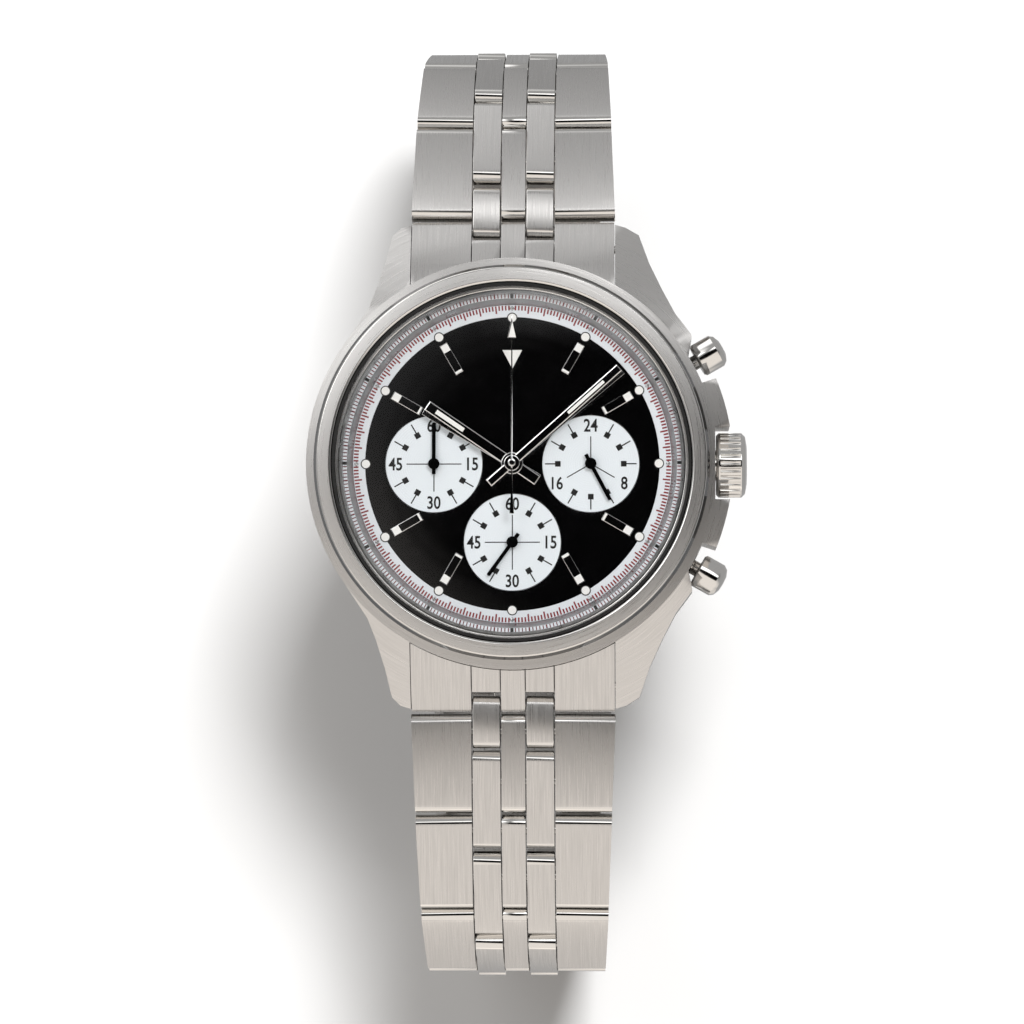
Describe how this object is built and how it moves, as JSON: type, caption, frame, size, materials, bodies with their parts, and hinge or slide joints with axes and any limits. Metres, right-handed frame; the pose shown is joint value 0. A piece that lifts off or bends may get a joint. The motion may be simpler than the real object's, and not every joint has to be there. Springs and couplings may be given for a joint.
{
  "type": "chronograph wristwatch",
  "caption": "Chronograph wristwatch on a link bracelet with folding clasp, turning crown, push buttons, sub-dials and turning hands.",
  "frame": {"origin": "on the flat outer face of the clasp, under the hand axis", "axes": "+Z out through the dial, +Y to twelve o'clock, +X to the crown"},
  "size_m": [0.0424, 0.0932, 0.049],
  "materials": {
    "brushed_steel": "lengthwise brushed stainless steel with polished edges",
    "bezel_steel": "circular brushed stainless steel",
    "polished_steel": "polished stainless steel",
    "crystal_glass": "clear domed mineral glass",
    "seal_rubber": "black nitrile seal",
    "dark_flange": "dark grey satin lacquer",
    "white_ring": "matt white lacquer",
    "dial_black": "gloss black lacquer on brass",
    "bright_metal": "diamond-cut polished metal",
    "black_hands": "gloss black lacquer",
    "movement_brass": "plated brass",
    "nickel": "nickel plate",
    "copper_coils": "enamelled copper wire",
    "holder_plastic": "moulded plastic"
  },
  "bodies": {
    "head": {"case_middle": "brushed_steel", "bezel": "bezel_steel", "crystal": "crystal_glass", "gaskets": "seal_rubber", "flange_ring": "dark_flange", "chapter_ring": "white_ring", "dial": "dial_black", "hour_markers": "bright_metal", "movement_plate": "movement_brass", "movement_bridge": "nickel", "battery": "nickel", "drive_coils": "copper_coils", "movement_holder": "holder_plastic", "case_back": "brushed_steel", "case_tubes": "polished_steel", "end_links": "brushed_steel", "spring_bars": "polished_steel"},
    "hour_hand": {"hour_hand": "black_hands"},
    "minute_hand": {"minute_hand": "black_hands"},
    "chrono_seconds_hand": {"chrono_seconds_hand": "bright_metal"},
    "small_seconds_hand": {"small_seconds_hand": "black_hands"},
    "chrono_minute_hand": {"chrono_minute_hand": "black_hands"},
    "day_hand": {"day_hand": "black_hands"},
    "clutch_wheel": {"clutch_wheel": "movement_brass"},
    "crown_and_stem": {"crown": "polished_steel", "winding_stem": "polished_steel"},
    "start_pusher": {"start_pusher": "polished_steel"},
    "reset_pusher": {"reset_pusher": "polished_steel"},
    "link_12_b1": {"link_12_b1": "brushed_steel"},
    "link_12_a1": {"link_12_a1": "brushed_steel"},
    "link_12_b2": {"link_12_b2": "brushed_steel"},
    "link_12_a2": {"link_12_a2": "brushed_steel"},
    "link_12_b3": {"link_12_b3": "brushed_steel"},
    "link_12_a3": {"link_12_a3": "brushed_steel"},
    "link_12_b4": {"link_12_b4": "brushed_steel"},
    "link_12_a4": {"link_12_a4": "brushed_steel"},
    "link_12_b5": {"link_12_b5": "brushed_steel"},
    "link_12_a5": {"link_12_a5": "brushed_steel"},
    "link_12_b6": {"link_12_b6": "brushed_steel"},
    "link_12_a6": {"link_12_a6": "brushed_steel"},
    "link_6_b1": {"link_6_b1": "brushed_steel"},
    "link_6_a1": {"link_6_a1": "brushed_steel"},
    "link_6_b2": {"link_6_b2": "brushed_steel"},
    "link_6_a2": {"link_6_a2": "brushed_steel"},
    "link_6_b3": {"link_6_b3": "brushed_steel"},
    "link_6_a3": {"link_6_a3": "brushed_steel"},
    "link_6_b4": {"link_6_b4": "brushed_steel"},
    "link_6_a4": {"link_6_a4": "brushed_steel"},
    "link_6_b5": {"link_6_b5": "brushed_steel"},
    "link_6_a5": {"link_6_a5": "brushed_steel"},
    "link_6_b6": {"link_6_b6": "brushed_steel"},
    "link_6_a6": {"link_6_a6": "brushed_steel"},
    "link_6_b7": {"link_6_b7": "brushed_steel"},
    "link_6_a7": {"link_6_a7": "brushed_steel"},
    "clasp_cover": {"clasp_cover": "brushed_steel"},
    "clasp_middle_blade": {"clasp_middle_blade": "polished_steel"},
    "clasp_inner_blade": {"clasp_inner_blade": "polished_steel"},
    "clasp_button_left": {"clasp_button_left": "polished_steel"},
    "clasp_button_right": {"clasp_button_right": "polished_steel"}
  },
  "joints": [
    {"name": "link_12_b1_hinge", "type": "hinge", "parent": "head", "child": "link_12_b1", "pos_m": [0, 0.023, 0.03984], "axis": [1, 0, 0], "range_deg": [0, 7.92]},
    {"name": "link_12_a1_hinge", "type": "hinge", "parent": "link_12_b1", "child": "link_12_a1", "pos_m": [0, 0.02558, 0.03949], "axis": [1, 0, 0], "range_deg": [0, 7.92]},
    {"name": "link_12_b2_hinge", "type": "hinge", "parent": "link_12_a1", "child": "link_12_b2", "pos_m": [0, 0.03024, 0.03817], "axis": [1, 0, 0], "range_deg": [0, 14.82]},
    {"name": "bracelet_12_open", "type": "hinge", "parent": "link_12_b2", "child": "link_12_a2", "pos_m": [0, 0.03442, 0.0357], "axis": [1, 0, 0], "range_deg": [0, 15.79]},
    {"name": "link_12_b3_hinge", "type": "hinge", "parent": "link_12_a2", "child": "link_12_b3", "pos_m": [0, 0.03776, 0.03219], "axis": [1, 0, 0], "range_deg": [0, 13.84]},
    {"name": "link_12_a3_hinge", "type": "hinge", "parent": "link_12_b3", "child": "link_12_a3", "pos_m": [0, 0.04017, 0.02798], "axis": [1, 0, 0], "range_deg": [0, 14.82]},
    {"name": "link_12_b4_hinge", "type": "hinge", "parent": "link_12_a3", "child": "link_12_b4", "pos_m": [0, 0.04143, 0.02329], "axis": [1, 0, 0], "range_deg": [0, 15.81]},
    {"name": "link_12_a4_hinge", "type": "hinge", "parent": "link_12_b4", "child": "link_12_a4", "pos_m": [0, 0.04136, 0.01844], "axis": [1, 0, 0], "range_deg": [0, 15.81]},
    {"name": "link_12_b5_hinge", "type": "hinge", "parent": "link_12_a4", "child": "link_12_b5", "pos_m": [0, 0.03997, 0.01379], "axis": [1, 0, 0], "range_deg": [0, 15.81]},
    {"name": "link_12_a5_hinge", "type": "hinge", "parent": "link_12_b5", "child": "link_12_a5", "pos_m": [0, 0.03738, 0.0097], "axis": [1, 0, 0], "range_deg": [0, 15.81]},
    {"name": "link_12_b6_hinge", "type": "hinge", "parent": "link_12_a5", "child": "link_12_b6", "pos_m": [0, 0.03376, 0.00647], "axis": [1, 0, 0], "range_deg": [0, 13.84]},
    {"name": "link_12_a6_hinge", "type": "hinge", "parent": "link_12_b6", "child": "link_12_a6", "pos_m": [0, 0.02948, 0.00419], "axis": [1, 0, 0], "range_deg": [0, 13.84]},
    {"name": "clasp_inner_blade_hinge", "type": "hinge", "parent": "link_12_a6", "child": "clasp_inner_blade", "pos_m": [0, 0.02478, 0.003], "axis": [1, 0, 0], "range_deg": [0, 14.2]},
    {"name": "link_6_b1_hinge", "type": "hinge", "parent": "head", "child": "link_6_b1", "pos_m": [0, -0.023, 0.03984], "axis": [-1, 0, 0], "range_deg": [0, 3.02]},
    {"name": "link_6_a1_hinge", "type": "hinge", "parent": "link_6_b1", "child": "link_6_a1", "pos_m": [0, -0.0256, 0.03971], "axis": [-1, 0, 0], "range_deg": [0, 3.02]},
    {"name": "link_6_b2_hinge", "type": "hinge", "parent": "link_6_a1", "child": "link_6_b2", "pos_m": [0, -0.03042, 0.0392], "axis": [-1, 0, 0], "range_deg": [0, 7.02]},
    {"name": "link_6_a2_hinge", "type": "hinge", "parent": "link_6_b2", "child": "link_6_a2", "pos_m": [0, -0.03515, 0.03811], "axis": [-1, 0, 0], "range_deg": [0, 8.02]},
    {"name": "link_6_b3_hinge", "type": "hinge", "parent": "link_6_a2", "child": "link_6_b3", "pos_m": [0, -0.03967, 0.03637], "axis": [-1, 0, 0], "range_deg": [0, 16.02]},
    {"name": "link_6_a3_hinge", "type": "hinge", "parent": "link_6_b3", "child": "link_6_a3", "pos_m": [0, -0.04355, 0.03345], "axis": [-1, 0, 0], "range_deg": [0, 17.02]},
    {"name": "bracelet_6_open", "type": "hinge", "parent": "link_6_a3", "child": "link_6_b4", "pos_m": [0, -0.0464, 0.02953], "axis": [-1, 0, 0], "range_deg": [0, 18]},
    {"name": "link_6_a4_hinge", "type": "hinge", "parent": "link_6_b4", "child": "link_6_a4", "pos_m": [0, -0.0479, 0.02492], "axis": [-1, 0, 0], "range_deg": [0, 18.02]},
    {"name": "link_6_b5_hinge", "type": "hinge", "parent": "link_6_a4", "child": "link_6_b5", "pos_m": [0, -0.0479, 0.02007], "axis": [-1, 0, 0], "range_deg": [0, 15.02]},
    {"name": "link_6_a5_hinge", "type": "hinge", "parent": "link_6_b5", "child": "link_6_a5", "pos_m": [0, -0.04664, 0.01538], "axis": [-1, 0, 0], "range_deg": [0, 15.02]},
    {"name": "link_6_b6_hinge", "type": "hinge", "parent": "link_6_a5", "child": "link_6_b6", "pos_m": [0, -0.04422, 0.01118], "axis": [-1, 0, 0], "range_deg": [0, 15.02]},
    {"name": "link_6_a6_hinge", "type": "hinge", "parent": "link_6_b6", "child": "link_6_a6", "pos_m": [0, -0.04079, 0.00775], "axis": [-1, 0, 0], "range_deg": [0, 14.02]},
    {"name": "link_6_b7_hinge", "type": "hinge", "parent": "link_6_a6", "child": "link_6_b7", "pos_m": [0, -0.03663, 0.00525], "axis": [-1, 0, 0], "range_deg": [0, 12.02]},
    {"name": "link_6_a7_hinge", "type": "hinge", "parent": "link_6_b7", "child": "link_6_a7", "pos_m": [0, -0.03204, 0.00367], "axis": [-1, 0, 0], "range_deg": [0, 11.02]},
    {"name": "clasp_open", "type": "hinge", "parent": "clasp_middle_blade", "child": "clasp_cover", "pos_m": [0, 0.01928, 0.0017], "axis": [1, 0, 0], "range_deg": [0, 130]},
    {"name": "clasp_blade_fold", "type": "hinge", "parent": "clasp_inner_blade", "child": "clasp_middle_blade", "pos_m": [0, -0.02174, 0.0024], "axis": [-1, 0, 0], "range_deg": [0, 130]},
    {"name": "clasp_button_left_press", "type": "slide", "parent": "clasp_cover", "child": "clasp_button_left", "axis": [1, 0, 0], "range_m": [0, 0.00045], "stiffness_N_per_m": 800, "springref_m": -0.0004},
    {"name": "clasp_button_right_press", "type": "slide", "parent": "clasp_cover", "child": "clasp_button_right", "axis": [-1, 0, 0], "range_m": [0, 0.00045], "stiffness_N_per_m": 800, "springref_m": -0.0004},
    {"name": "minute_hand_turn", "type": "hinge", "parent": "head", "child": "minute_hand", "pos_m": [0, 0, 0.04494], "axis": [0, 0, -1], "continuous": true},
    {"name": "hour_hand_turn", "type": "hinge", "parent": "head", "child": "hour_hand", "pos_m": [0, 0, 0.04494], "axis": [0, 0, -1], "continuous": true},
    {"name": "chrono_seconds_hand_turn", "type": "hinge", "parent": "head", "child": "chrono_seconds_hand", "pos_m": [0, 0, 0.04494], "axis": [0, 0, -1], "continuous": true},
    {"name": "small_seconds_hand_turn", "type": "hinge", "parent": "head", "child": "small_seconds_hand", "pos_m": [0, -0.00755, 0.04494], "axis": [0, 0, -1], "continuous": true},
    {"name": "chrono_minute_hand_turn", "type": "hinge", "parent": "head", "child": "chrono_minute_hand", "pos_m": [-0.00755, 0, 0.04494], "axis": [0, 0, -1], "continuous": true},
    {"name": "day_hand_turn", "type": "hinge", "parent": "head", "child": "day_hand", "pos_m": [0.00755, 0, 0.04494], "axis": [0, 0, -1], "continuous": true},
    {"name": "crown_turn", "type": "hinge", "parent": "head", "child": "clutch_wheel", "pos_m": [0.0074, 0, 0.04174], "axis": [1, 0, 0], "continuous": true},
    {"name": "crown_pull", "type": "slide", "parent": "clutch_wheel", "child": "crown_and_stem", "axis": [1, 0, 0], "range_m": [0, 0.0012]},
    {"name": "start_pusher_press", "type": "slide", "parent": "head", "child": "start_pusher", "axis": [-0.8704, -0.4924, 0], "range_m": [0, 0.0007], "stiffness_N_per_m": 1500, "springref_m": -0.0006},
    {"name": "reset_pusher_press", "type": "slide", "parent": "head", "child": "reset_pusher", "axis": [-0.8704, 0.4924, 0], "range_m": [0, 0.0007], "stiffness_N_per_m": 1500, "springref_m": -0.0006}
  ],
  "couplings": [
    {"joint": "link_12_b1_hinge", "follows": "bracelet_12_open", "ratio": 0.5},
    {"joint": "link_12_a1_hinge", "follows": "bracelet_12_open", "ratio": 0.5},
    {"joint": "link_12_b2_hinge", "follows": "bracelet_12_open", "ratio": 0.9375},
    {"joint": "link_12_b3_hinge", "follows": "bracelet_12_open", "ratio": 0.875},
    {"joint": "link_12_a3_hinge", "follows": "bracelet_12_open", "ratio": 0.9375},
    {"joint": "link_12_b4_hinge", "follows": "bracelet_12_open", "ratio": 1},
    {"joint": "link_12_a4_hinge", "follows": "bracelet_12_open", "ratio": 1},
    {"joint": "link_12_b5_hinge", "follows": "bracelet_12_open", "ratio": 1},
    {"joint": "link_12_a5_hinge", "follows": "bracelet_12_open", "ratio": 1},
    {"joint": "link_12_b6_hinge", "follows": "bracelet_12_open", "ratio": 0.875},
    {"joint": "link_12_a6_hinge", "follows": "bracelet_12_open", "ratio": 0.875},
    {"joint": "clasp_inner_blade_hinge", "follows": "bracelet_12_open", "ratio": 0.89814},
    {"joint": "link_6_b1_hinge", "follows": "bracelet_6_open", "ratio": 0.16667},
    {"joint": "link_6_a1_hinge", "follows": "bracelet_6_open", "ratio": 0.16667},
    {"joint": "link_6_b2_hinge", "follows": "bracelet_6_open", "ratio": 0.38889},
    {"joint": "link_6_a2_hinge", "follows": "bracelet_6_open", "ratio": 0.44444},
    {"joint": "link_6_b3_hinge", "follows": "bracelet_6_open", "ratio": 0.88889},
    {"joint": "link_6_a3_hinge", "follows": "bracelet_6_open", "ratio": 0.94444},
    {"joint": "link_6_a4_hinge", "follows": "bracelet_6_open", "ratio": 1},
    {"joint": "link_6_b5_hinge", "follows": "bracelet_6_open", "ratio": 0.83333},
    {"joint": "link_6_a5_hinge", "follows": "bracelet_6_open", "ratio": 0.83333},
    {"joint": "link_6_b6_hinge", "follows": "bracelet_6_open", "ratio": 0.83333},
    {"joint": "link_6_a6_hinge", "follows": "bracelet_6_open", "ratio": 0.77778},
    {"joint": "link_6_b7_hinge", "follows": "bracelet_6_open", "ratio": 0.66667},
    {"joint": "link_6_a7_hinge", "follows": "bracelet_6_open", "ratio": 0.61111},
    {"joint": "clasp_blade_fold", "follows": "clasp_open", "ratio": 1},
    {"joint": "hour_hand_turn", "follows": "minute_hand_turn", "ratio": 0.083333},
    {"joint": "day_hand_turn", "follows": "minute_hand_turn", "ratio": 0.041667},
    {"joint": "chrono_minute_hand_turn", "follows": "chrono_seconds_hand_turn", "ratio": 0.016667}
  ]
}
